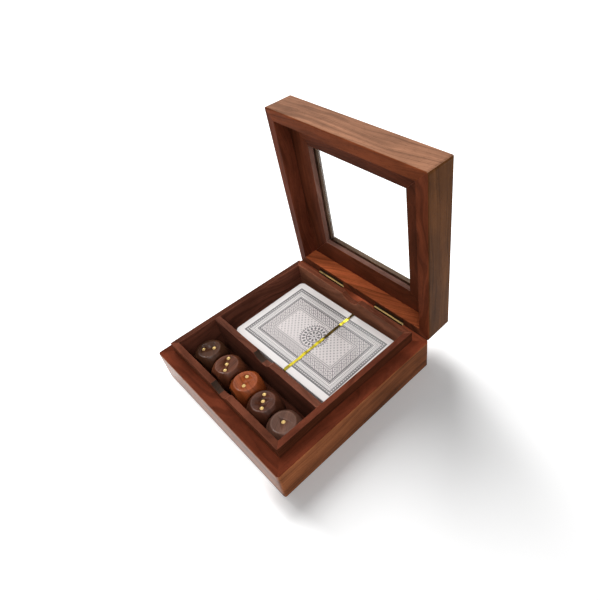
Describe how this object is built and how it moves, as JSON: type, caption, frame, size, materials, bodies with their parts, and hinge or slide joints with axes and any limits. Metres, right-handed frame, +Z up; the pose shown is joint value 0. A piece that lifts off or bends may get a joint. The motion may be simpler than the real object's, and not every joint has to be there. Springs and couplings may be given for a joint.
{
  "type": "playing card box",
  "caption": "Mitred wooden box with a hinged glazed lid, raised liner and divider, holding a banded deck of cards and a row of wooden dice with inlaid pips.",
  "frame": {"origin": "middle of the underside of the base, on the surface that the box stands on", "axes": "+Z up, +X to the right seen from the front, -Y to the front where the lid opens, +Y to the hinges at the back"},
  "size_m": [0.12, 0.1353, 0.1387],
  "materials": {
    "wall_wood": "satin varnish over streaked red-brown wood",
    "panel_wood": "dull varnish",
    "liner_wood": "satin varnish over dark red-brown wood",
    "frame_wood": "satin varnish",
    "bead_wood": "satin varnish over dark red-brown wood",
    "hinge_brass": "worn brass",
    "window_glass": "clear",
    "card_board": "white cut edges of coated cards",
    "card_back": "coated, printed with a fine dark line pattern",
    "band_film": "shiny gold film",
    "die_wood": "waxed dark brown wood",
    "die_red_wood": "waxed orange-red wood",
    "pip_brass": "polished brass inlay"
  },
  "bodies": {
    "base": {"base_front_wall": "wall_wood", "base_right_wall": "wall_wood", "base_back_wall": "wall_wood", "base_left_wall": "wall_wood", "bottom_panel": "panel_wood", "liner_front": "liner_wood", "liner_right": "liner_wood", "liner_back": "liner_wood", "liner_left": "liner_wood", "divider": "liner_wood", "base_hinge_leaf_left": "hinge_brass", "base_hinge_leaf_right": "hinge_brass", "base_hinge_screws": "hinge_brass", "hinge_pin_left": "hinge_brass", "hinge_pin_right": "hinge_brass"},
    "lid": {"lid_front_wall": "wall_wood", "lid_right_wall": "wall_wood", "lid_back_wall": "wall_wood", "lid_left_wall": "wall_wood", "frame_front_rail": "frame_wood", "frame_right_rail": "frame_wood", "frame_back_rail": "frame_wood", "frame_left_rail": "frame_wood", "glass_pane": "window_glass", "bead_front": "bead_wood", "bead_right": "bead_wood", "bead_back": "bead_wood", "bead_left": "bead_wood", "lid_hinge_leaf_left": "hinge_brass", "lid_hinge_leaf_right": "hinge_brass", "lid_hinge_screws": "hinge_brass"},
    "deck": {"card_stack": "card_board", "top_card": "card_back", "deck_band": "band_film"},
    "die_1": {"die_1": "die_wood", "die_1_pips": "pip_brass"},
    "die_2": {"die_2": "die_wood", "die_2_pips": "pip_brass"},
    "die_3": {"die_3": "die_red_wood", "die_3_pips": "pip_brass"},
    "die_4": {"die_4": "die_wood", "die_4_pips": "pip_brass"},
    "die_5": {"die_5": "die_wood", "die_5_pips": "pip_brass"}
  },
  "joints": [
    {"name": "lid_hinge", "type": "hinge", "parent": "base", "child": "lid", "pos_m": [0, 0.058, 0.0221], "axis": [-1, 0, 0], "range_deg": [-88, 0]},
    {"name": "deck_lift", "type": "slide", "parent": "base", "child": "deck", "axis": [0, 0, 1], "range_m": [0, 0.03]},
    {"name": "die_1_lift", "type": "slide", "parent": "base", "child": "die_1", "axis": [0, 0, 1], "range_m": [0, 0.03]},
    {"name": "die_2_lift", "type": "slide", "parent": "base", "child": "die_2", "axis": [0, 0, 1], "range_m": [0, 0.03]},
    {"name": "die_3_lift", "type": "slide", "parent": "base", "child": "die_3", "axis": [0, 0, 1], "range_m": [0, 0.03]},
    {"name": "die_4_lift", "type": "slide", "parent": "base", "child": "die_4", "axis": [0, 0, 1], "range_m": [0, 0.03]},
    {"name": "die_5_lift", "type": "slide", "parent": "base", "child": "die_5", "axis": [0, 0, 1], "range_m": [0, 0.03]}
  ]
}
